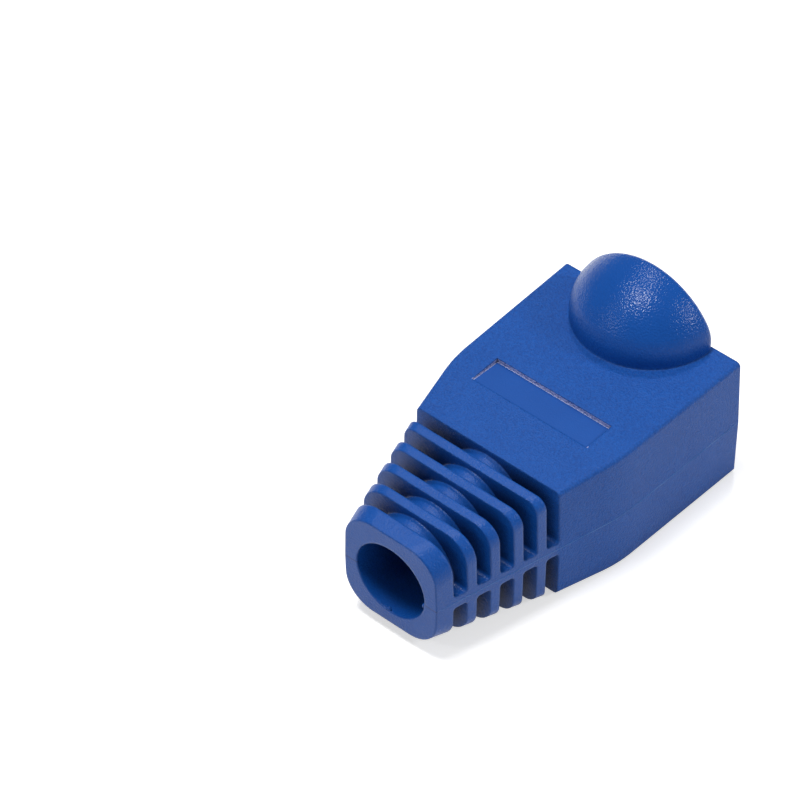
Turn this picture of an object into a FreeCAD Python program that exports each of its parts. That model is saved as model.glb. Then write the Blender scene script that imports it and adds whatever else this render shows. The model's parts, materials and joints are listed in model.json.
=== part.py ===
"""Strain relief boot for a standard 8P8C plug: one soft moulded piece.

Frame: the mouth lies at -Y, the cable leaves at +Y, +Z is the side that carries the latch hood.
The flat underside stands on Z = 0 and the origin lies under the middle of the bounding box.
All sizes are in millimetres.
"""
import FreeCAD, Part
import Sketcher
import math
import os

DIMS = {
    # overall form
    "body_height": 9.32,
    "mouth_width": 14.2,
    "bend_width": 13.7,
    "cap_width": 7.28,
    "cap_height": 7.40,
    "bend_station": 11.0,
    "bend_blend": 1.2,
    "draft_angle": 1.4,
    "parting_height": 4.37,
    "body_corner": 0.3,
    "neck_corner": 0.7,
    "cap_corner": 2.15,
    "sole_width": 8.0,
    "cap_sole": 1.6,
    # socket for the plug
    "plug_clear_width": 11.85,
    "socket_floor": 1.07,
    "socket_ceiling": 8.02,
    "socket_corner": 0.3,
    "socket_depth": 10.4,
    "funnel_wall": 0.8,
    # retaining lip on the socket floor
    "lip_height": 0.28,
    "lip_length": 1.75,
    "lip_slope": 0.35,
    "lead_in_depth": 0.5,
    "lead_in_drop": 0.64,
    # latch hood
    "hood_centre": 0.35,
    "hood_radius": 4.92,
    "hood_rise": 4.32,
    "hood_wall_rise": 0.6,
    "hood_shoulder": 2.35,
    "hood_rim_round": 0.5,
    "latch_radius": 4.27,
    "latch_rise": 2.4,
    "latch_wall_rise": 0.22,
    "latch_shoulder": 1.8,
    # label recess
    "label_width": 9.05,
    "label_start": 9.4,
    "label_length": 2.35,
    "label_depth": 0.3,
    "label_far_depth": 0.14,
    # cable side
    "bore_radius": 2.7,
    "bore_height": 4.57,
    "body_end": 15.6,
    "first_gap": 0.93,
    "gap_width": 1.02,
    "rib_thickness": 0.65,
    "cap_thickness": 1.24,
    "spine_height": 0.92,
    "slot_corner": 0.25,
    "core_inset": 0.43,
    "core_near_width": 6.5,
    "core_far_width": 6.24,
    "core_lap": 0.3,
}
GAP_COUNT = 5
GAPS_END = "(dims.body_end + dims.first_gap + %d * (dims.gap_width + dims.rib_thickness))" % (
    GAP_COUNT - 1)
WHOLE_LENGTH = "(%s + dims.cap_thickness)" % GAPS_END
FUNNEL_END = "(dims.body_end - dims.funnel_wall)"
TOUCH = 0.002

doc = FreeCAD.newDocument("boot_source")
sheet = doc.addObject("Spreadsheet::Sheet", "dims")
for row, (name, value) in enumerate(DIMS.items(), start=1):
    sheet.set("A%d" % row, name)
    sheet.set("B%d" % row, str(value))
    sheet.setAlias("B%d" % row, name)
doc.recompute()

body = doc.addObject("PartDesign::Body", "boot_body")
body.Label = "boot"


def origin_plane(role):
    """Return the body's own origin plane with the given role."""
    for feature in body.Origin.OriginFeatures:
        if feature.Role == role:
            return feature
    raise ValueError(role)


def new_sketch(name, role, offset):
    """Make a sketch on an origin plane, moved along the plane's normal by an expression."""
    sketch = body.newObject("Sketcher::SketchObject", name)
    sketch.AttachmentSupport = [(origin_plane(role), "")]
    sketch.MapMode = "FlatFace"
    sketch.setExpression(".AttachmentOffset.Base.z", offset)
    return sketch


def bind(sketch, constraint, expression):
    """Add a dimension to a sketch and drive it by an expression."""
    index = sketch.addConstraint(constraint)
    sketch.setExpression("Constraints[%d]" % index, expression)


def place_point(sketch, geometry, end, right, up):
    """Tie one point of a sketch to signed distances right of and above the sketch origin."""
    for kind, expression in (("DistanceX", right), ("DistanceY", up)):
        if expression == "0":
            axis = -2 if kind == "DistanceX" else -1
            sketch.addConstraint(Sketcher.Constraint("PointOnObject", geometry, end, axis))
        else:
            value = present_value(expression)
            bind(sketch, Sketcher.Constraint(kind, -1, 1, geometry, end, value), expression)


def present_value(expression):
    """Give the present value of an expression on the sheet."""
    return float(sheet.evalExpression(expression))


def polygon(sketch, corners):
    """Draw a closed polygon whose corners are pairs of expressions."""
    points = [FreeCAD.Vector(present_value(right), present_value(up), 0) for right, up in corners]
    count = len(points)
    lines = [
        sketch.addGeometry(Part.LineSegment(points[i], points[(i + 1) % count]), False)
        for i in range(count)
    ]
    for i in range(count):
        sketch.addConstraint(
            Sketcher.Constraint("Coincident", lines[i], 2, lines[(i + 1) % count], 1)
        )
    for line, (right, up) in zip(lines, corners):
        place_point(sketch, line, 1, right, up)
    return lines


def rounded_polygon(sketch, corners, radii):
    """Draw a closed polygon with some corners rounded; radius "0" keeps a corner sharp.

    The sharp corners are drawn as construction points, and the lines and tangent arcs are tied
    to them, so the drawing follows every size.
    """
    points = [FreeCAD.Vector(present_value(right), present_value(up), 0) for right, up in corners]
    sizes = [present_value(radius) for radius in radii]
    count = len(points)
    starts = []
    ends = []
    middles = []
    for i in range(count):
        before = (points[i - 1] - points[i]).normalize()
        after = (points[(i + 1) % count] - points[i]).normalize()
        if sizes[i] == 0:
            starts.append(points[i])
            ends.append(points[i])
            middles.append(None)
            continue
        half = before.getAngle(after) / 2
        run = sizes[i] / math.tan(half)
        centre = points[i] + (before + after).normalize() * (sizes[i] / math.sin(half))
        starts.append(points[i] + before * run)
        ends.append(points[i] + after * run)
        middles.append(centre + (points[i] - centre).normalize() * sizes[i])
    lines = [
        sketch.addGeometry(Part.LineSegment(ends[i], starts[(i + 1) % count]), False)
        for i in range(count)
    ]
    for i in range(count):
        if middles[i] is None:
            sketch.addConstraint(Sketcher.Constraint("Coincident", lines[i - 1], 2, lines[i], 1))
            place_point(sketch, lines[i], 1, corners[i][0], corners[i][1])
            continue
        arc = sketch.addGeometry(Part.Arc(starts[i], middles[i], ends[i]), False)
        first, second = (1, 2)
        if sketch.Geometry[arc].StartPoint.distanceToPoint(starts[i]) > 1e-6:
            first, second = (2, 1)
        sketch.addConstraint(Sketcher.Constraint("Tangent", lines[i - 1], 2, arc, first))
        sketch.addConstraint(Sketcher.Constraint("Tangent", arc, second, lines[i], 1))
        bind(sketch, Sketcher.Constraint("Radius", arc, sizes[i]), radii[i])
        corner = sketch.addGeometry(Part.Point(points[i]), True)
        sketch.addConstraint(Sketcher.Constraint("PointOnObject", corner, 1, lines[i - 1]))
        sketch.addConstraint(Sketcher.Constraint("PointOnObject", corner, 1, lines[i]))
        place_point(sketch, corner, 1, corners[i][0], corners[i][1])
    return lines


def along(first, bend, last, station):
    """Give a size at a station: straight from mouth to bend and from bend to cap.

    Within the blend the two straight lines are joined by a parabola tangent to both:
    size = bend + blend * (rear slope * (1 + u)^2 / 4 - front slope * (1 - u)^2 / 4).
    """
    front = "((%s) - (%s)) / dims.bend_station" % (bend, first)
    rear = "((%s) - (%s)) / (%s - dims.bend_station)" % (last, bend, WHOLE_LENGTH)
    kind, where = station
    if kind == "front":
        return "(%s) + %s * (%s)" % (first, front, where)
    if kind == "rear":
        return "(%s) + %s * ((%s) - dims.bend_station)" % (bend, rear, where)
    return "(%s) + dims.bend_blend * (%s * %.6f - %s * %.6f)" % (
        bend, rear, (1 + where) ** 2 / 4, front, (1 - where) ** 2 / 4)


def station_y(station):
    """Give the distance of a station from the mouth as an expression."""
    kind, where = station
    if kind == "blend":
        return "dims.bend_station + dims.bend_blend * %.6f" % where
    return where


def outer_sizes(station):
    """Give half width, top and bottom heights of the outside at a station."""
    half = along("dims.mouth_width / 2", "dims.bend_width / 2", "dims.cap_width / 2", station)
    middle = "dims.body_height / 2"
    rise = along("dims.body_height / 2", "dims.body_height / 2", "dims.cap_height / 2", station)
    top = "(%s) + %s" % (middle, rise)
    low = "(%s) - (%s)" % (middle, rise)
    return half, top, low


def outer_section(name, station, corner, sole):
    """Draw the outside of the boot at one station, drafted both ways from the parting plane.

    The four corners are rounded alike. The bottom line is split at the sole, so that the middle
    of the underside is one true plane.
    """
    half, top, low = outer_sizes(station)
    slope = "tan(dims.draft_angle * 1 deg)"
    top_half = "(%s) - ((%s) - dims.parting_height) * %s" % (half, top, slope)
    low_half = "(%s) - (dims.parting_height - (%s)) * %s" % (half, low, slope)
    sketch = new_sketch(name, "XZ_Plane", "-(%s)" % station_y(station))
    corners = [
        ("-%s" % sole, low), (sole, low), (low_half, low), (half, "dims.parting_height"),
        (top_half, top), ("-(%s)" % top_half, top), ("-(%s)" % half, "dims.parting_height"),
        ("-(%s)" % low_half, low),
    ]
    rounded_polygon(sketch, corners, ["0", "0", corner, "0", corner, corner, "0", corner])
    return sketch


def loft(name, kind, sections, ruled):
    """Loft through sections; kind is AdditiveLoft or SubtractiveLoft."""
    feature = body.newObject("PartDesign::" + kind, name)
    feature.Profile = sections[0]
    feature.Sections = sections[1:]
    feature.Ruled = ruled
    doc.recompute()
    return feature


def outer_form():
    """Make the outside: straight block, soft bend, body taper and the rounder neck.

    The body and the neck meet inside the first gap, so only the spine shows where they join.
    """
    corner = "dims.body_corner"
    sole = "dims.sole_width / 2"
    meeting = ("rear", "dims.body_end + dims.first_gap / 2")
    mouth = outer_section("mouth_section", ("front", "0 * dims.bend_station"), corner, sole)
    bends = [
        outer_section("bend_section_%d" % (i + 1), ("blend", u), corner, sole)
        for i, u in enumerate((-1.0, -1.0 / 3, 1.0 / 3, 1.0))
    ]
    back = outer_section("back_section", meeting, corner, sole)
    neck = outer_section("neck_section", meeting, "dims.neck_corner", sole)
    cap = outer_section(
        "cap_section", ("rear", WHOLE_LENGTH), "dims.cap_corner", "dims.cap_sole / 2")
    loft("front_block", "AdditiveLoft", [mouth, bends[0]], True)
    loft("soft_bend", "AdditiveLoft", bends, False)
    loft("body_taper", "AdditiveLoft", [bends[3], back], True)
    loft("neck_taper", "AdditiveLoft", [neck, cap], True)


def gap_ends(index):
    """Give the two ends of a gap in the neck, counted from the body, as expressions."""
    if index == 0:
        start = "dims.body_end"
        return start, "%s + dims.first_gap" % start
    start = "dims.body_end + dims.first_gap + dims.rib_thickness + %d * %s" % (
        index - 1, "(dims.gap_width + dims.rib_thickness)")
    return start, "%s + dims.gap_width" % start


def symmetric_cut(name, sketch, length):
    """Cut a sketch on the middle plane equally far to both sides."""
    pocket = body.newObject("PartDesign::Pocket", name)
    pocket.Profile = sketch
    pocket.SideType = "Symmetric"
    pocket.setExpression("Length", length)
    doc.recompute()
    return pocket


def neck_gaps():
    """Cut the gaps from above and below, leaving a spine on each side at the parting plane."""
    spine_top = "dims.parting_height + dims.spine_height / 2"
    spine_low = "dims.parting_height - dims.spine_height / 2"
    for index in range(GAP_COUNT):
        start, end = gap_ends(index)
        sketch = new_sketch("gap_sketch_%d" % (index + 1), "YZ_Plane", "0 * dims.gap_width")
        above = "%s + dims.body_height" % spine_top
        below = "%s - dims.body_height" % spine_low
        rounds = ["dims.slot_corner", "dims.slot_corner", "0", "0"]
        rounded_polygon(
            sketch, [(start, spine_top), (end, spine_top), (end, above), (start, above)], rounds)
        rounded_polygon(
            sketch, [(end, spine_low), (start, spine_low), (start, below), (end, below)], rounds)
        symmetric_cut("gap_%d" % (index + 1), sketch, "2 * dims.mouth_width")


def core_section(name, station, width):
    """Draw the core tube's outside, an ellipse that stays just under the ribs' top edge."""
    top = outer_sizes(station)[1]
    sketch = new_sketch(name, "XZ_Plane", "-(%s)" % station_y(station))
    rise = "(%s) - dims.core_inset - dims.bore_height" % top
    spread = "%s / 2" % width
    centre = FreeCAD.Vector(0, present_value("dims.bore_height"), 0)
    major = centre + FreeCAD.Vector(0, present_value(rise), 0)
    minor = centre + FreeCAD.Vector(present_value(spread), 0, 0)
    ellipse = sketch.addGeometry(Part.Ellipse(major, minor, centre), False)
    sketch.exposeInternalGeometry(ellipse)
    place_point(sketch, ellipse, 3, "0", "dims.bore_height")
    sketch.addConstraint(Sketcher.Constraint("Vertical", ellipse + 1))
    for line, size in ((ellipse + 1, rise), (ellipse + 2, spread)):
        full = "2 * (%s)" % size
        bind(sketch, Sketcher.Constraint("Distance", line, present_value(full)), full)
    return sketch


def neck_core():
    """Put the core tube back through the gaps."""
    first = gap_ends(0)[0]
    last = gap_ends(GAP_COUNT - 1)[1]
    near = core_section(
        "core_near_section", ("rear", "%s - dims.core_lap" % first), "dims.core_near_width")
    far = core_section(
        "core_far_section", ("rear", "%s + dims.core_lap" % last), "dims.core_far_width")
    loft("neck_core", "AdditiveLoft", [near, far], True)


def dome_profile(name, centre, radius, base, wall_top, crown, shoulder):
    """Draw half of a dome: wall, shoulder arc and crown arc, all tangent, up to its axis.

    The crown radius follows from the rest: with d = radius - shoulder and e = crown - wall top,
    crown radius = (d^2 + e^2 - shoulder^2) / (2 * (e - shoulder)).
    """
    sketch = new_sketch(name, "YZ_Plane", "0 * dims.gap_width")
    sketch.setExpression(".AttachmentOffset.Base.x", centre)
    size = present_value(radius)
    low, wall, peak, bend = (present_value(value) for value in (base, wall_top, crown, shoulder))
    inset = size - bend
    rise = peak - wall
    crown_radius = (inset ** 2 + rise ** 2 - bend ** 2) / (2 * (rise - bend))
    crown_centre = FreeCAD.Vector(0, peak - crown_radius, 0)
    shoulder_centre = FreeCAD.Vector(inset, wall, 0)
    outward = (shoulder_centre - crown_centre).normalize()
    joint = crown_centre + outward * crown_radius
    angle = math.atan2(outward.y, outward.x)
    up = FreeCAD.Vector(0, 0, 1)
    corners = [FreeCAD.Vector(0, low, 0), FreeCAD.Vector(size, low, 0),
               FreeCAD.Vector(size, wall, 0)]
    floor = sketch.addGeometry(Part.LineSegment(corners[0], corners[1]), False)
    side = sketch.addGeometry(Part.LineSegment(corners[1], corners[2]), False)
    turn = sketch.addGeometry(
        Part.ArcOfCircle(Part.Circle(shoulder_centre, up, bend), 0, angle), False)
    cap = sketch.addGeometry(
        Part.ArcOfCircle(Part.Circle(crown_centre, up, crown_radius), angle, math.pi / 2), False)
    axis = sketch.addGeometry(
        Part.LineSegment(FreeCAD.Vector(0, peak, 0), corners[0]), False)
    for constraint in (
        Sketcher.Constraint("Coincident", floor, 2, side, 1),
        Sketcher.Constraint("Tangent", side, 2, turn, 1),
        Sketcher.Constraint("Tangent", turn, 2, cap, 1),
        Sketcher.Constraint("Coincident", cap, 2, axis, 1),
        Sketcher.Constraint("Coincident", axis, 2, floor, 1),
        Sketcher.Constraint("Horizontal", floor),
        Sketcher.Constraint("Vertical", side),
        Sketcher.Constraint("PointOnObject", cap, 3, -2),
    ):
        sketch.addConstraint(constraint)
    place_point(sketch, floor, 1, "0", base)
    bind(sketch, Sketcher.Constraint("DistanceX", -1, 1, floor, 2, size), radius)
    bind(sketch, Sketcher.Constraint("DistanceY", -1, 1, side, 2, wall), wall_top)
    bind(sketch, Sketcher.Constraint("Radius", turn, bend), shoulder)
    sketch.addConstraint(Sketcher.Constraint("PointOnObject", cap, 2, -2))
    bind(sketch, Sketcher.Constraint("DistanceY", -1, 1, cap, 2, peak), crown)
    return sketch


def turned(name, kind, sketch):
    """Turn a profile once round its sketch's upright axis."""
    feature = body.newObject("PartDesign::" + kind, name)
    feature.Profile = sketch
    feature.ReferenceAxis = (sketch, ["V_Axis"])
    feature.Angle = 360.0
    doc.recompute()
    return feature


def latch_hood():
    """Raise the dome that guards the plug's latch, cut flat at the mouth."""
    profile = dome_profile(
        "hood_profile", "dims.hood_centre", "dims.hood_radius",
        "dims.socket_ceiling + (dims.body_height - dims.socket_ceiling) / 2",
        "dims.body_height + dims.hood_wall_rise", "dims.body_height + dims.hood_rise",
        "dims.hood_shoulder")
    turned("latch_hood", "Revolution", profile)
    sketch = new_sketch("mouth_plane_sketch", "XZ_Plane", "0 * dims.gap_width")
    wide = "dims.mouth_width"
    high = "2 * dims.body_height + dims.hood_rise"
    polygon(sketch, [("-%s" % wide, "-dims.body_height"), (wide, "-dims.body_height"),
                     (wide, high), ("-%s" % wide, high)])
    trim = body.newObject("PartDesign::Pocket", "mouth_plane")
    trim.Profile = sketch
    trim.Reversed = True
    trim.setExpression("Length", "2 * dims.hood_radius")
    doc.recompute()


def label_recess():
    """Sink the plain label field into the top; its floor rises towards the neck."""
    sketch = new_sketch("label_sketch", "YZ_Plane", "0 * dims.gap_width")
    start = "dims.label_start"
    end = "%s + dims.label_length" % start
    above = "dims.body_height + dims.label_depth"
    polygon(sketch, [(start, "dims.body_height - dims.label_depth"),
                     (end, "dims.body_height - dims.label_far_depth"),
                     (end, above), (start, above)])
    symmetric_cut("label_recess", sketch, "dims.label_width")


def inner_section(name, station, half, low, high, radius):
    """Draw one section of the hollow: a rectangle with four equal round corners."""
    sketch = new_sketch(name, "XZ_Plane", "-(%s)" % station)
    corners = [("-(%s)" % half, low), (half, low), (half, high), ("-(%s)" % half, high)]
    rounded_polygon(sketch, corners, [radius] * 4)
    return sketch


def plug_socket():
    """Cut the plug's socket from the mouth, and the funnel that narrows just short of the neck."""
    wide = "dims.plug_clear_width / 2"
    mouth = inner_section("socket_sketch", "0 * dims.gap_width", wide,
                          "dims.socket_floor", "dims.socket_ceiling", "dims.socket_corner")
    socket = body.newObject("PartDesign::Pocket", "plug_socket")
    socket.Profile = mouth
    socket.setExpression("Length", "dims.socket_depth")
    doc.recompute()
    entry = inner_section("funnel_entry", "dims.socket_depth", wide,
                          "dims.socket_floor", "dims.socket_ceiling", "dims.socket_corner")
    outlet = inner_section("funnel_exit", FUNNEL_END, "dims.bore_radius",
                           "dims.bore_height - dims.bore_radius",
                           "dims.bore_height + dims.bore_radius", "dims.socket_corner")
    loft("funnel", "SubtractiveLoft", [entry, outlet], True)


def cable_bore():
    """Bore the cable's way in from the cap face until it opens into the funnel."""
    sketch = new_sketch("bore_sketch", "XZ_Plane", "-%s" % WHOLE_LENGTH)
    centre = FreeCAD.Vector(0, present_value("dims.bore_height"), 0)
    circle = sketch.addGeometry(
        Part.Circle(centre, FreeCAD.Vector(0, 0, 1), present_value("dims.bore_radius")), False)
    place_point(sketch, circle, 3, "0", "dims.bore_height")
    bind(sketch, Sketcher.Constraint("Radius", circle, present_value("dims.bore_radius")),
         "dims.bore_radius")
    pocket = body.newObject("PartDesign::Pocket", "cable_bore")
    pocket.Profile = sketch
    pocket.Reversed = True
    pocket.setExpression("Length", "%s - %s + dims.core_lap" % (WHOLE_LENGTH, FUNNEL_END))
    doc.recompute()


def latch_hollow():
    """Hollow the hood and open it down into the socket, so the plug's latch can move."""
    profile = dome_profile(
        "latch_profile", "0 * dims.gap_width", "dims.latch_radius",
        "dims.socket_ceiling - dims.latch_wall_rise",
        "dims.body_height + dims.latch_wall_rise", "dims.body_height + dims.latch_rise",
        "dims.latch_shoulder")
    turned("latch_hollow", "Groove", profile)


def floor_lip():
    """Add the low ridge across the socket floor and slope the edge that leads onto it."""
    crest = "dims.socket_floor + dims.lip_height"
    root = "dims.socket_floor - dims.lip_height"
    heel = "dims.lip_length + dims.lip_slope"
    ridge = new_sketch("lip_sketch", "YZ_Plane", "0 * dims.gap_width")
    polygon(ridge, [("0", root), (heel, root), (heel, "dims.socket_floor"),
                    ("dims.lip_length", crest), ("0", crest)])
    pad = body.newObject("PartDesign::Pad", "floor_lip")
    pad.Profile = ridge
    pad.SideType = "Symmetric"
    pad.setExpression("Length", "dims.plug_clear_width + dims.lip_height")
    doc.recompute()
    slope = new_sketch("lead_in_sketch", "YZ_Plane", "0 * dims.gap_width")
    above = "%s + dims.lip_height" % crest
    polygon(slope, [("0", "%s - dims.lead_in_drop" % crest), ("dims.lead_in_depth", crest),
                    ("dims.lead_in_depth", above), ("0", above)])
    symmetric_cut("lead_in", slope, "dims.plug_clear_width")


def edges_within(low, high):
    """List the numbers of the edges that lie wholly in a box given by two corners."""
    found = set()
    for index, edge in enumerate(body.Tip.Shape.Edges, start=1):
        span = edge.LastParameter - edge.FirstParameter
        points = [edge.valueAt(edge.FirstParameter + span * part / 6) for part in range(7)]
        if all(a - TOUCH < p < b + TOUCH
               for point in points for a, p, b in zip(low, point, high)):
            found.add(index)
    return found


def round_edges(name, chosen, radius):
    """Round the numbered edges of the latest shape."""
    base = body.Tip
    fillet = body.newObject("PartDesign::Fillet", name)
    fillet.Base = (base, ["Edge%d" % index for index in sorted(chosen)])
    fillet.setExpression("Radius", radius)
    doc.recompute()


def round_hood_rim():
    """Round the hood's outer rim at the mouth."""
    roof = present_value("dims.body_height")
    peak = present_value("2 * dims.body_height")
    dome = present_value("dims.hood_radius")
    reach = present_value("dims.latch_radius")
    arch = present_value("dims.body_height + dims.latch_rise")
    rim = edges_within((-dome, 0, roof), (dome, 0, peak))
    rim -= edges_within((-reach, 0, 0), (reach, 0, arch))
    round_edges("hood_rim", rim, "dims.hood_rim_round")


def check_features():
    """Stop with the feature's name if anything failed to build."""
    for feature in doc.Objects:
        if "Invalid" in feature.State or "Error" in feature.State:
            raise RuntimeError("%s did not build: %s" % (feature.Name, feature.State))
    shape = body.Shape
    if shape.isNull() or not shape.isValid() or len(shape.Solids) != 1:
        raise RuntimeError("the boot is not one valid solid")


outer_form()
neck_gaps()
neck_core()
latch_hood()
label_recess()
plug_socket()
cable_bore()
latch_hollow()
floor_lip()
round_hood_rim()
body.setExpression("Placement.Base.y", "-%s / 2" % WHOLE_LENGTH)
doc.recompute()
check_features()
os.makedirs("parts", exist_ok=True)
body.Shape.exportStep("parts/boot.step")
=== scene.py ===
"""Looks for a strain relief boot that slips over a modular plug.

One soft moulded piece lies on a plain pale floor under soft studio light. The boot's solid keeps
its own shape and gets a moulded plastic finish. What the mould left on it is added: a thin ridge
of flash along each side wall, and two small burrs on the rim of the cable hole.

The mouth faces -Y and the cable hole +Y. A station is a distance from the mouth plane towards
the cable hole.
"""

import json
import logging
import math
from dataclasses import dataclass, field
from enum import Enum
from typing import Optional, Union

import bpy
import numpy as np
from mathutils import Matrix, Vector

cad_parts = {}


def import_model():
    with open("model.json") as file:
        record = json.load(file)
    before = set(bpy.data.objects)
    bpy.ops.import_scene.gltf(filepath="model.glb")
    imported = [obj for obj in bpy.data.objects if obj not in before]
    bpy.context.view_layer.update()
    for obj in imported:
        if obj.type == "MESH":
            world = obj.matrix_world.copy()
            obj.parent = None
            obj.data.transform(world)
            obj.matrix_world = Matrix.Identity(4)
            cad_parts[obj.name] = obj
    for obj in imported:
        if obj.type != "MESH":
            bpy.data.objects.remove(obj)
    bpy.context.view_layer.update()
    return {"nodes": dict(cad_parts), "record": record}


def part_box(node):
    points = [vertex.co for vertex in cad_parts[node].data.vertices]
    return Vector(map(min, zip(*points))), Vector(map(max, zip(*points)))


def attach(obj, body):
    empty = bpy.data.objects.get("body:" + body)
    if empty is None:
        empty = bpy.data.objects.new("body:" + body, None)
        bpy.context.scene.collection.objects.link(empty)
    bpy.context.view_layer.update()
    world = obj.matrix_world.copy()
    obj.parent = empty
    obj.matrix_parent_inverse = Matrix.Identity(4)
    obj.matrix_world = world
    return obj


logging.basicConfig(level=logging.INFO, format="%(message)s")
LOG = logging.getLogger("boot_scene")

MM = 0.001
Colour = tuple[float, float, float]
Socket = bpy.types.NodeSocket
Value = Union[float, Socket]


class Side(Enum):
    """The boot's two side walls, each with the sign of its X."""

    RIGHT = 1.0
    LEFT = -1.0


def from_display(red: int, green: int, blue: int) -> Colour:
    """Turn display values of 0 to 255 into linear light.

    Formula: with v the value over 255, linear = v / 12.92 at or below 0.04045, and otherwise
    ((v + 0.055) / 1.055) to the power 2.4.

    Args:
        red: Red on the display scale.
        green: Green on the display scale.
        blue: Blue on the display scale.

    Returns:
        The three linear values.
    """
    values = np.array([red, green, blue], dtype=float) / 255.0
    linear = np.where(values <= 0.04045, values / 12.92, ((values + 0.055) / 1.055) ** 2.4)
    return tuple(float(v) for v in linear)


@dataclass(frozen=True)
class BootSizes:
    """Sizes of the boot that its finish and its moulding marks share.

    The first five are read from the frame. The hood is what lies within its reach of a point at
    its station and height, and above its foot.
    """

    mouth: float
    cap_face: float
    mouth_half: float
    bore_radius: float
    bore_height: float
    bend_half: float = 6.85 * MM
    cap_half: float = 3.64 * MM
    bend_station: float = 11.0 * MM
    bend_blend: float = 1.2 * MM
    parting_height: float = 4.37 * MM
    hood_station: float = 0.325 * MM
    hood_height: float = 9.6 * MM
    hood_foot: float = 9.33 * MM
    hood_reach: float = 5.2 * MM
    label_half: float = 4.525 * MM
    label_start: float = 9.4 * MM
    label_length: float = 2.35 * MM
    label_top: float = 9.27 * MM
    label_deepest: float = 8.87 * MM
    neck_start: float = 15.625 * MM

    @classmethod
    def read(cls, record: dict) -> "BootSizes":
        """Read the outer sizes from the boot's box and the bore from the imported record.

        Args:
            record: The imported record.

        Returns:
            The sizes.
        """
        low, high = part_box("boot")
        bore = next(mount for mount in record["mounts"] if mount["name"] == "cable_bore")
        return cls(
            mouth=low.y, cap_face=high.y, mouth_half=high.x,
            bore_radius=bore["dims"]["r_mm"] * MM, bore_height=bore["pos_m"][2])

    @property
    def length(self) -> float:
        """Give the distance from the mouth plane to the cap face."""
        return self.cap_face - self.mouth

    def place(self, station: Union[float, np.ndarray]) -> Union[float, np.ndarray]:
        """Turn a station into a place along Y."""
        return self.mouth + station

    def wall_half(self, station: np.ndarray) -> np.ndarray:
        """Give half the distance between the side walls.

        Formula: straight from the mouth to the bend and from the bend to the cap; within the
        blend, with u from -1 to 1 across it, the half width is that at the bend plus the blend
        times (rear slope * (1 + u) squared / 4 - front slope * (1 - u) squared / 4).

        Args:
            station: Distances from the mouth.

        Returns:
            Half widths.
        """
        front = (self.bend_half - self.mouth_half) / self.bend_station
        rear = (self.cap_half - self.bend_half) / (self.length - self.bend_station)
        u = np.clip((station - self.bend_station) / self.bend_blend, -1.0, 1.0)
        blend = self.bend_half + self.bend_blend * (
            rear * (1 + u) ** 2 / 4 - front * (1 - u) ** 2 / 4)
        before = self.mouth_half + front * station
        after = self.bend_half + rear * (station - self.bend_station)
        return np.where(u <= -1, before, np.where(u >= 1, after, blend))


class Graph:
    """A material's node tree with short ways to add and join nodes."""

    def __init__(self, name: str) -> None:
        """Start an empty node tree in a new material."""
        self.material = bpy.data.materials.new(name)
        self.material.use_nodes = True
        self.tree = self.material.node_tree
        self.tree.nodes.clear()

    def node(
        self, kind: str, inputs: Optional[dict] = None, **settings: object
    ) -> bpy.types.Node:
        """Add one node.

        Args:
            kind: Blender's node type name without its ShaderNode prefix.
            inputs: Values or output sockets by input name or number.
            **settings: Node properties to set first.

        Returns:
            The new node.
        """
        made = self.tree.nodes.new("ShaderNode" + kind)
        for key, value in settings.items():
            setattr(made, key, value)
        for key, value in (inputs or {}).items():
            if isinstance(value, Socket):
                self.tree.links.new(value, made.inputs[key])
            else:
                made.inputs[key].default_value = value
        return made

    def math(self, kind: str, *values: Value, clamp: bool = False) -> Socket:
        """Add a Math node and return its output."""
        inputs = dict(enumerate(values))
        return self.node("Math", inputs, operation=kind, use_clamp=clamp).outputs[0]

    def product(self, first: Value, *others: Value) -> Socket:
        """Multiply all the values."""
        for other in others:
            first = self.math("MULTIPLY", first, other)
        return first

    def greatest(self, first: Value, *others: Value) -> Socket:
        """Keep the greatest of all the values."""
        for other in others:
            first = self.math("MAXIMUM", first, other)
        return first

    def ramp(self, value: Socket, low: float, high: float) -> Socket:
        """Run from 0 at low to 1 at high in a straight line, and stay level outside."""
        made = self.node(
            "MapRange",
            {"Value": value, "From Min": low, "From Max": high, "To Min": 0.0, "To Max": 1.0})
        return made.outputs["Result"]

    def noise(self, place: Socket, size: float, **inputs: float) -> Socket:
        """Give a noise whose features have about the given size."""
        wanted = {"Vector": place, "Scale": 1 / size, **inputs}
        return self.node("TexNoise", wanted).outputs["Fac"]

    def mix(self, share: Value, first: Union[Colour, Socket], second: Colour) -> Socket:
        """Mix two colours by the second one's share."""
        first = first if isinstance(first, Socket) else (*first, 1)
        inputs = {"Fac": share, "Color1": first, "Color2": (*second, 1)}
        return self.node("MixRGB", inputs).outputs["Color"]

    def darken(self, colour: Socket, share: Socket) -> Socket:
        """Take a share of its light from a colour."""
        kept = self.math("SUBTRACT", 1.0, share)
        inputs = {"Fac": 1.0, "Color1": colour, "Color2": kept}
        return self.node("MixRGB", inputs, blend_type="MULTIPLY").outputs["Color"]

    def finish(self, surface: Socket) -> bpy.types.Material:
        """Join the surface to the output and return the material."""
        out = self.node("OutputMaterial")
        self.tree.links.new(surface, out.inputs["Surface"])
        return self.material


@dataclass(frozen=True)
class Polish:
    """How far the mould was polished in one area: fine grain lost and gloss gained, 0 to 1."""

    grain_lost: float = 0.0
    gloss: float = 0.0


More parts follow.
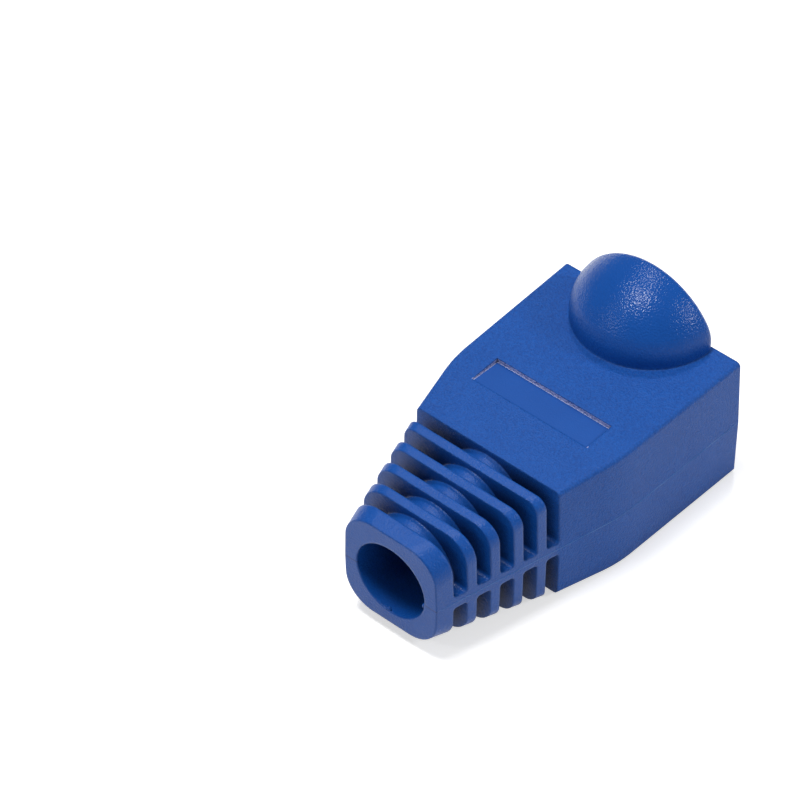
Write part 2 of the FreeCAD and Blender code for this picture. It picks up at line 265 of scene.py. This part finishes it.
@dataclass(frozen=True)
class MouldedPlastic:
    """Soft blue plastic that shows its mould.

    The plain walls carry a fine spark-eroded grain. The hood is pebbled and glossier, and the
    neck is glossier too, with less grain. The label field is nearly smooth, and its walls get a
    pale painted highlight. The cap face shows the line between the mould halves. Gaps and the
    cable bore get painted shade.
    """

    sizes: BootSizes
    name: str = "boot_blue_plastic"
    colour: Colour = from_display(25, 92, 181)
    deep_colour: Colour = from_display(11, 65, 142)
    # Pale blue painted on the label field's walls as a painted highlight, where light falls on
    # them.
    label_wall_highlight_colour: Colour = from_display(176, 184, 232)
    # Dark navy painted into gaps, crevices and down the cable bore as painted shade.
    painted_shade_colour: Colour = from_display(14, 22, 52)

    cloud_size: float = 3.0 * MM
    cloud_share: float = 0.35
    speck_share: float = 0.65
    speck_dark: float = 0.3
    speck_light: float = 0.7
    polished_speck: float = 0.38
    grain_size: float = 0.125 * MM
    grain_depth: float = 0.07 * MM
    pebble_size: float = 0.12 * MM
    pebble_depth: float = 0.026 * MM
    pebble_softness: float = 0.7
    edge_radius: float = 0.2 * MM

    roughness: float = 0.5
    gloss_roughness: float = 0.21
    refraction: float = 1.46
    reflection: float = 0.28
    hood_polish: Polish = Polish(grain_lost=0.85, gloss=1.0)
    neck_polish: Polish = Polish(grain_lost=0.5, gloss=0.65)
    label_polish: Polish = Polish(grain_lost=0.85, gloss=0.4)

    hood_fade: float = 0.5 * MM
    neck_fade: float = 0.3 * MM
    # How far the label walls' painted highlight reaches, and where its fine noise starts and fills
    # it.
    label_wall_highlight_width: float = 0.06 * MM
    label_wall_highlight_thin: float = 0.2
    label_wall_highlight_full: float = 0.55
    line_width: float = 0.07 * MM
    line_core: float = 0.021 * MM
    line_depth: float = 0.125 * MM
    line_shade: float = 0.45
    # Painted shade: how far occlusion looks, where it starts and is full, and how strong it is;
    # then the bore's own painted shade.
    painted_shade_reach: float = 5.0 * MM
    painted_shade_open: float = 0.5
    painted_shade_shut: float = 0.1
    painted_shade_strength: float = 0.85
    bore_margin: float = 0.02 * MM
    bore_deepening: float = 2.6 * MM
    bore_painted_shade: float = 0.5

    def hood_mask(self, graph: Graph, place: Socket) -> Socket:
        """Give 1 on the hood and 0 elsewhere.

        Formula: the distance from the hood's middle, turned into a short slope at its reach,
        times the height over the hood's foot, turned into a slope too.

        Args:
            graph: The material's nodes.
            place: Place on the object.

        Returns:
            The mask.
        """
        sizes = self.sizes
        middle = (0.0, sizes.place(sizes.hood_station), sizes.hood_height)
        away = graph.node("VectorMath", {0: place, 1: middle}, operation="DISTANCE")
        near = graph.ramp(
            away.outputs["Value"], sizes.hood_reach, sizes.hood_reach - self.hood_fade)
        height = graph.node("SeparateXYZ", {0: place}).outputs["Z"]
        return graph.product(near, graph.ramp(height, sizes.hood_foot, sizes.hood_height))

    def neck_mask(self, graph: Graph, place: Socket) -> Socket:
        """Give 1 on the neck and 0 on the body."""
        start = self.sizes.place(self.sizes.neck_start)
        along = graph.node("SeparateXYZ", {0: place}).outputs["Y"]
        return graph.ramp(along, start, start + self.neck_fade)

    def label_mask(self, graph: Graph, place: Socket, margin: float = 0.0) -> Socket:
        """Give 1 in the label field.

        Args:
            graph: The material's nodes.
            place: Place on the object.
            margin: How far outside the field's sides and hood end the mask still reaches.

        Returns:
            The mask.
        """
        sizes = self.sizes
        start = sizes.place(sizes.label_start)
        axis = graph.node("SeparateXYZ", {0: place}).outputs
        aside = graph.math("ABSOLUTE", axis["X"])
        return graph.product(
            graph.math("LESS_THAN", aside, sizes.label_half + margin),
            graph.math("GREATER_THAN", axis["Y"], start - margin),
            graph.math("LESS_THAN", axis["Y"], start + sizes.label_length),
            graph.math("LESS_THAN", axis["Z"], sizes.label_top),
            graph.math("GREATER_THAN", axis["Z"], sizes.label_deepest))

    def label_wall_highlight_mask(self, graph: Graph, place: Socket) -> Socket:
        """Give 1 on the label field's side walls and hood wall for a painted highlight, broken up
        by a fine noise.

        Args:
            graph: The material's nodes.
            place: Place on the object.

        Returns:
            The mask.
        """
        outer = self.label_mask(graph, place, self.label_wall_highlight_width)
        inner = self.label_mask(graph, place, -self.label_wall_highlight_width)
        walls = graph.math("SUBTRACT", outer, inner, clamp=True)
        specks = graph.noise(place, self.grain_size, Detail=1.0)
        return graph.product(walls, graph.ramp(specks, self.label_wall_highlight_thin, self.label_wall_highlight_full))

    def line_mask(self, graph: Graph, place: Socket) -> Socket:
        """Give 1 on the fine line that the two mould halves leave on the cap face.

        Args:
            graph: The material's nodes.
            place: Place on the object.

        Returns:
            The mask.
        """
        axis = graph.node("SeparateXYZ", {0: place}).outputs
        above = graph.math("SUBTRACT", axis["Z"], self.sizes.parting_height)
        line = graph.ramp(
            graph.math("ABSOLUTE", above), self.line_width, self.line_core)
        inside = self.sizes.cap_face - self.line_depth
        return graph.product(line, graph.math("GREATER_THAN", axis["Y"], inside))

    def bore_painted_shade_mask(self, graph: Graph, place: Socket) -> Socket:
        """Give a value for painted shade that grows from 0 at the cap face to 1 down the cable
        bore.

        Formula: 1 where the distance from the bore's axis is under its radius, times the depth
        below the cap face as a share of the bore's deepening.

        Args:
            graph: The material's nodes.
            place: Place on the object.

        Returns:
            The mask.
        """
        sizes = self.sizes
        axis = graph.node("SeparateXYZ", {0: place}).outputs
        up = graph.math("SUBTRACT", axis["Z"], sizes.bore_height)
        squares = graph.math("ADD", graph.product(axis["X"], axis["X"]), graph.product(up, up))
        away = graph.math("SQRT", squares)
        inside = graph.math("LESS_THAN", away, sizes.bore_radius + self.bore_margin)
        depth = graph.ramp(axis["Y"], sizes.cap_face, sizes.cap_face - self.bore_deepening)
        return graph.product(inside, depth)

    def painted_shade(self, graph: Graph, place: Socket) -> Socket:
        """Give the share of painted shade where a place lies in a gap or down the bore.

        Args:
            graph: The material's nodes.
            place: Place on the object.

        Returns:
            The share of the painted shade colour.
        """
        # Ambient occlusion paints shade into gaps and crevices.
        openness = graph.node(
            "AmbientOcclusion", {"Distance": self.painted_shade_reach}, samples=8).outputs["AO"]
        shut = graph.ramp(openness, self.painted_shade_open, self.painted_shade_shut)
        return graph.greatest(
            graph.product(shut, self.painted_shade_strength),
            graph.product(self.bore_painted_shade_mask(graph, place), self.bore_painted_shade))

    def tone(self, graph: Graph, place: Socket, grain: Socket, calm: Socket) -> Socket:
        """Work out the colour: two blues by cloud and grain, then the label walls' painted
        highlight, the line and painted shade.

        Args:
            graph: The material's nodes.
            place: Place on the object.
            grain: The grain's height from 0 to 1.
            calm: How much of the grain shows, from 0 on polished faces to 1.

        Returns:
            The colour.
        """
        cloud = graph.noise(place, self.cloud_size, Detail=3.0)
        over = graph.math(
            "SUBTRACT", graph.ramp(grain, self.speck_dark, self.speck_light), self.polished_speck)
        specks = graph.math("ADD", self.polished_speck, graph.product(over, calm))
        part = graph.math(
            "ADD", graph.product(cloud, self.cloud_share), graph.product(specks, self.speck_share))
        blue = graph.mix(part, self.deep_colour, self.colour)
        # The label field's walls are painted pale: a painted highlight.
        highlit = graph.mix(self.label_wall_highlight_mask(graph, place), blue, self.label_wall_highlight_colour)
        lined = graph.darken(
            highlit, graph.product(self.line_mask(graph, place), self.line_shade))
        # Painted shade darkens gaps, crevices and the bore.
        return graph.mix(self.painted_shade(graph, place), lined, self.painted_shade_colour)

    def relief(self, graph: Graph, place: Socket, fine: Socket, hood: Socket) -> Socket:
        """Work out the surface's lean: grain and pebbles over softly rounded edges.

        Args:
            graph: The material's nodes.
            place: Place on the object.
            fine: The height of the fine grain from 0 to 1.
            hood: The hood's mask.

        Returns:
            The normal.
        """
        cells = graph.node(
            "TexVoronoi",
            {"Vector": place, "Scale": 1 / self.pebble_size, "Smoothness": self.pebble_softness},
            feature="SMOOTH_F1")
        coarse = graph.product(cells.outputs["Distance"], hood)
        height = graph.math(
            "ADD", graph.product(fine, self.grain_depth), graph.product(coarse, self.pebble_depth))
        rounded = graph.node("Bevel", {"Radius": self.edge_radius}, samples=8)
        bump = graph.node(
            "Bump", {"Height": height, "Distance": 1.0, "Strength": 1.0,
                     "Normal": rounded.outputs["Normal"]})
        return bump.outputs["Normal"]

    def build(self) -> bpy.types.Material:
        """Make the material.

        Returns:
            The finished material.
        """
        graph = Graph(self.name)
        place = graph.node("TexCoord").outputs["Object"]
        hood = self.hood_mask(graph, place)
        areas = (
            (hood, self.hood_polish),
            (self.neck_mask(graph, place), self.neck_polish),
            (self.label_mask(graph, place), self.label_polish))
        lost = graph.greatest(*(graph.product(mask, area.grain_lost) for mask, area in areas))
        gloss = graph.greatest(*(graph.product(mask, area.gloss) for mask, area in areas))
        calm = graph.math("SUBTRACT", 1.0, lost)
        grain = graph.noise(place, self.grain_size, Detail=2.0, Roughness=0.6)
        smoother = graph.product(gloss, self.roughness - self.gloss_roughness)
        skin = graph.node(
            "BsdfPrincipled",
            {"Base Color": self.tone(graph, place, grain, calm),
             "Roughness": graph.math("SUBTRACT", self.roughness, smoother),
             "Normal": self.relief(graph, place, graph.product(grain, calm), hood),
             "IOR": self.refraction, "Specular IOR Level": self.reflection})
        return graph.finish(skin.outputs["BSDF"])


@dataclass(frozen=True)
class FlashPlastic:
    """The same plastic in a paler blue, which paints the flash ridge's bright line as a painted
    highlight.
    """

    name: str = "boot_flash_plastic"
    # Paler blue for the ridge's bright line: a painted highlight.
    colour: Colour = from_display(52, 112, 184)
    deep_colour: Colour = from_display(36, 92, 170)
    patch_size: float = 0.8 * MM
    patch_depth: float = 0.01 * MM
    roughness: float = 0.4
    refraction: float = 1.46

    def build(self) -> bpy.types.Material:
        """Make the material.

        Returns:
            The finished material.
        """
        graph = Graph(self.name)
        place = graph.node("TexCoord").outputs["Object"]
        patches = graph.noise(place, self.patch_size, Detail=2.0)
        bump = graph.node(
            "Bump", {"Height": patches, "Distance": self.patch_depth, "Strength": 1.0})
        skin = graph.node(
            "BsdfPrincipled",
            {"Base Color": graph.mix(patches, self.deep_colour, self.colour),
             "Roughness": self.roughness, "Normal": bump.outputs["Normal"],
             "IOR": self.refraction})
        return graph.finish(skin.outputs["BSDF"])


def closed_tube(name: str, rings: np.ndarray) -> bpy.types.Object:
    """Make a closed tube from rings of points, with its first and last ring shut.

    Formula: ring i, point j is vertex i * count + j; each face joins neighbours on two rings,
    and each end is one face, so the tube has no open edge.

    Args:
        name: The object's name.
        rings: Points in an array of rings by points by three.

    Returns:
        The new object.
    """
    steps, count = rings.shape[:2]
    start = np.arange(steps - 1)[:, None] * count
    first = start + np.arange(count)[None, :]
    second = start + (np.arange(count)[None, :] + 1) % count
    faces = np.stack([first, second, second + count, first + count], axis=-1).reshape(-1, 4)
    ends = [tuple(range(count - 1, -1, -1)), tuple(range((steps - 1) * count, steps * count))]
    mesh = bpy.data.meshes.new(name)
    mesh.from_pydata(rings.reshape(-1, 3).tolist(), [], faces.tolist() + ends)
    mesh.validate()
    mesh.update()
    obj = bpy.data.objects.new(name, mesh)
    bpy.context.collection.objects.link(obj)
    return obj


def ride_boot(piece: bpy.types.Object, material: bpy.types.Material) -> None:
    """Give a piece its finish and let it ride with the boot.

    Args:
        piece: The new piece.
        material: Its finish.
    """
    piece.data.materials.append(material)
    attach(piece, "root")
    LOG.info("%s added with %d faces", piece.name, len(piece.data.polygons))


@dataclass(frozen=True)
class PartingFlash:
    """The thin ridge where the mould halves met, along one side wall."""

    side: Side
    sizes: BootSizes
    proud: float = 0.018 * MM
    root: float = 0.03 * MM
    half_height: float = 0.035 * MM
    end_share: float = 0.3
    run_in: float = 1.0 * MM
    end_gap: float = 0.05 * MM
    long_wave: float = 1.7 * MM
    short_wave: float = 0.53 * MM
    steps: int = 240

    def build(self) -> bpy.types.Object:
        """Make the ridge.

        Formula: a four-sided profile (root, top, crest, bottom) is carried along the wall. The
        crest's height over the wall grows from nothing over the run-in at either end, and is
        varied by a third of the product of two sines. Its foot narrows to the end share there.

        Returns:
            The ridge.
        """
        sizes = self.sizes
        station = np.linspace(self.end_gap, sizes.length - self.end_gap, self.steps)
        wall = sizes.wall_half(station)
        ease = np.clip(np.minimum(station, sizes.length - station) / self.run_in, 0.0, 1.0)
        wave = 1 + np.sin(station / self.long_wave) * np.sin(station / self.short_wave) / 3
        crest = self.proud * ease * wave
        level = np.full(self.steps, sizes.parting_height)
        spread = self.half_height * (self.end_share + (1 - self.end_share) * ease)
        across = self.side.value * np.stack(
            [wall - self.root, wall, wall + crest, wall], axis=1)
        up = np.stack([level, level + spread, level, level - spread], axis=1)
        along = np.repeat(sizes.place(station)[:, None], 4, axis=1)
        rings = np.stack([across, along, up], axis=-1)
        outward = rings if self.side is Side.RIGHT else rings[:, ::-1]
        return closed_tube(f"flash_{self.side.name.lower()}", outward)


@dataclass(frozen=True)
class HoleBurr:
    """A small burr left on the rim of the cable hole.

    Angles are in degrees round the bore's axis, from +X towards +Z.
    """

    name: str
    sizes: BootSizes
    middle_angle: float
    span: float
    thickness: float
    flatness: float = 0.75
    setback: float = 1.15
    steps: int = 40
    sides: int = 16

    def build(self) -> bpy.types.Object:
        """Make the burr as a bead that swells and fades along the rim.

        Formula: along an arc of the rim the bead's size is the thickness times the square root
        of sin(pi * u), with u running from just over 0 to just under 1. Each section is an
        ellipse that touches the bore's wall. It is twice the size long, along the bore, and the
        flatness times that deep. Its middle lies the setback times the thickness behind the cap
        face.

        Returns:
            The burr.
        """
        sizes = self.sizes
        u = np.linspace(0.004, 0.996, self.steps)
        angle = np.radians(self.middle_angle + self.span * (u - 0.5))[:, None]
        turn = np.linspace(0, 2 * np.pi, self.sides, endpoint=False)[None, :]
        size = (self.thickness * np.sqrt(np.sin(np.pi * u)))[:, None]
        reach = sizes.bore_radius - self.flatness * size * (1 - np.cos(turn))
        along = sizes.cap_face - self.setback * self.thickness + size * np.sin(turn)
        rings = np.stack(
            [reach * np.cos(angle), along, sizes.bore_height + reach * np.sin(angle)], axis=-1)
        burr = closed_tube(self.name, rings)
        burr.data.polygons.foreach_set("use_smooth", np.ones(len(burr.data.polygons), bool))
        return burr


@dataclass(frozen=True)
class Boot:
    """The moulded boot: its solid, dressed, with what the mould left on it."""

    sizes: BootSizes
    # Finish of the flash ridges, whose paler blue is a painted highlight.
    thin: FlashPlastic = field(default_factory=FlashPlastic)

    def burrs(self) -> tuple[HoleBurr, ...]:
        """Give the burr beside the mould line and the smaller one at the hole's bottom."""
        return (
            HoleBurr("burr_side", self.sizes, middle_angle=190.0, span=9.0, thickness=0.17 * MM),
            HoleBurr("burr_low", self.sizes, middle_angle=276.0, span=11.0, thickness=0.1 * MM))

    def dress(self, solid: bpy.types.Object) -> None:
        """Give the solid its finish and add the flash and the burrs.

        Args:
            solid: The boot's own solid.
        """
        plastic = MouldedPlastic(self.sizes).build()
        for slot in solid.material_slots:
            slot.material = plastic
        LOG.info("%s dressed", solid.name)
        flash_finish = self.thin.build()
        for side in Side:
            ride_boot(PartingFlash(side, self.sizes).build(), flash_finish)
        for burr in self.burrs():
            ride_boot(burr.build(), plastic)


@dataclass(frozen=True)
class Softbox:
    """One square lamp, hung at a distance along a direction from the boot."""

    name: str
    direction: tuple[float, float, float]
    distance: float
    size: float
    power: float

    def hang(self) -> None:
        """Add the lamp and turn it to the boot."""
        data = bpy.data.lights.new(self.name, "AREA")
        data.size = self.size
        data.energy = self.power
        obj = bpy.data.objects.new(self.name, data)
        bpy.context.collection.objects.link(obj)
        way = Vector(self.direction).normalized()
        turned = (-way).to_track_quat("-Z", "Y").to_matrix().to_4x4()
        obj.matrix_world = Matrix.Translation(way * self.distance) @ turned


@dataclass(frozen=True)
class Studio:
    """Floor, sky and softboxes."""

    floor_half: float = 2.0
    floor_colour: Colour = (0.8, 0.8, 0.8)
    floor_glow: float = 0.56
    sky_level: float = 0.22
    softboxes: tuple[Softbox, ...] = (
        Softbox("top_softbox", (0.12, 0.16, 0.97), 0.45, 0.1, 1.12),
        Softbox("side_softbox", (-0.7, -0.42, 0.58), 0.5, 0.07, 0.54),
        Softbox("front_softbox", (0.36, 0.73, 0.58), 0.5, 0.08, 0.22),
        Softbox("rear_softbox", (0.27, -0.43, 0.87), 0.5, 0.05, 0.5),
    )

    def floor_finish(self) -> bpy.types.Material:
        """Make the floor matt, and white only where it is looked at or mirrored.

        Returns:
            The finished material.
        """
        graph = Graph("studio_floor")
        matt = graph.node("BsdfDiffuse", {"Color": (*self.floor_colour, 1)})
        glow = graph.node("Emission", {"Color": (1, 1, 1, 1), "Strength": self.floor_glow})
        both = graph.node("AddShader", {0: matt.outputs[0], 1: glow.outputs[0]})
        ray = graph.node("LightPath").outputs
        seen = graph.greatest(
            ray["Is Camera Ray"], ray["Is Glossy Ray"], ray["Is Transmission Ray"])
        mixed = graph.node("MixShader", {0: seen, 1: matt.outputs[0], 2: both.outputs[0]})
        return graph.finish(mixed.outputs[0])

    def floor(self) -> None:
        """Lay the floor."""
        half = self.floor_half
        corners = [(-half, -half, 0), (half, -half, 0), (half, half, 0), (-half, half, 0)]
        mesh = bpy.data.meshes.new("studio_floor")
        mesh.from_pydata(corners, [], [(0, 1, 2, 3)])
        mesh.materials.append(self.floor_finish())
        obj = bpy.data.objects.new("studio_floor", mesh)
        bpy.context.collection.objects.link(obj)

    def sky(self) -> None:
        """Fill the world with plain soft light."""
        world = bpy.data.worlds.new("studio_sky")
        bpy.context.scene.world = world
        world.use_nodes = True
        light = world.node_tree.nodes["Background"].inputs
        light["Color"].default_value = (1, 1, 1, 1)
        light["Strength"].default_value = self.sky_level

    def build(self) -> None:
        """Set up floor, sky and softboxes."""
        self.floor()
        self.sky()
        for softbox in self.softboxes:
            softbox.hang()
            LOG.info("%s hung", softbox.name)


@dataclass(frozen=True)
class View:
    """The camera's place, given by the way it looks and a target inside the boot.

    Angles are in degrees, and the lens and the sensor in millimetres as Blender takes them. The
    shifts say how far right and up of the view's middle the target shows.
    """

    azimuth: float = 221.773
    elevation: float = 44.172
    roll: float = -0.484
    distance: float = 282.086 * MM
    target: tuple[float, float, float] = (0.0, -4.225 * MM, 5.12 * MM)
    right_shift: float = 10.3106 * MM
    up_shift: float = -1.7850 * MM
    lens: float = 206.244
    sensor: float = 36.0

    def build(self) -> None:
        """Place the camera and make it the scene's own.

        Formula: the backward direction comes from azimuth and elevation; the level right and
        up directions are turned about it by the roll.
        """
        turn, lift, lean = (math.radians(a) for a in (self.azimuth, self.elevation, self.roll))
        back = Vector((math.sin(turn) * math.cos(lift), -math.cos(turn) * math.cos(lift),
                       math.sin(lift)))
        flat_right = (-back).cross(Vector((0, 0, 1))).normalized()
        flat_up = flat_right.cross(-back)
        right = flat_right * math.cos(lean) + flat_up * math.sin(lean)
        up = flat_up * math.cos(lean) - flat_right * math.sin(lean)
        aim = Vector(self.target) - right * self.right_shift - up * self.up_shift
        data = bpy.data.cameras.new("studio_camera")
        data.lens = self.lens
        data.sensor_width = self.sensor
        data.clip_start = 0.01
        data.clip_end = 20.0
        obj = bpy.data.objects.new("studio_camera", data)
        bpy.context.collection.objects.link(obj)
        turned = Matrix((right, up, back)).transposed().to_4x4()
        obj.matrix_world = Matrix.Translation(aim + back * self.distance) @ turned
        bpy.context.scene.camera = obj


def main() -> None:
    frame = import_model()
    sizes = BootSizes.read(frame["record"])
    Boot(sizes).dress(frame["nodes"]["boot"])
    Studio().build()
    LOG.info("studio built")
    View().build()
    LOG.info("camera placed")
    bpy.context.scene.view_settings.view_transform = "Standard"


if __name__ == "__main__":
    main()
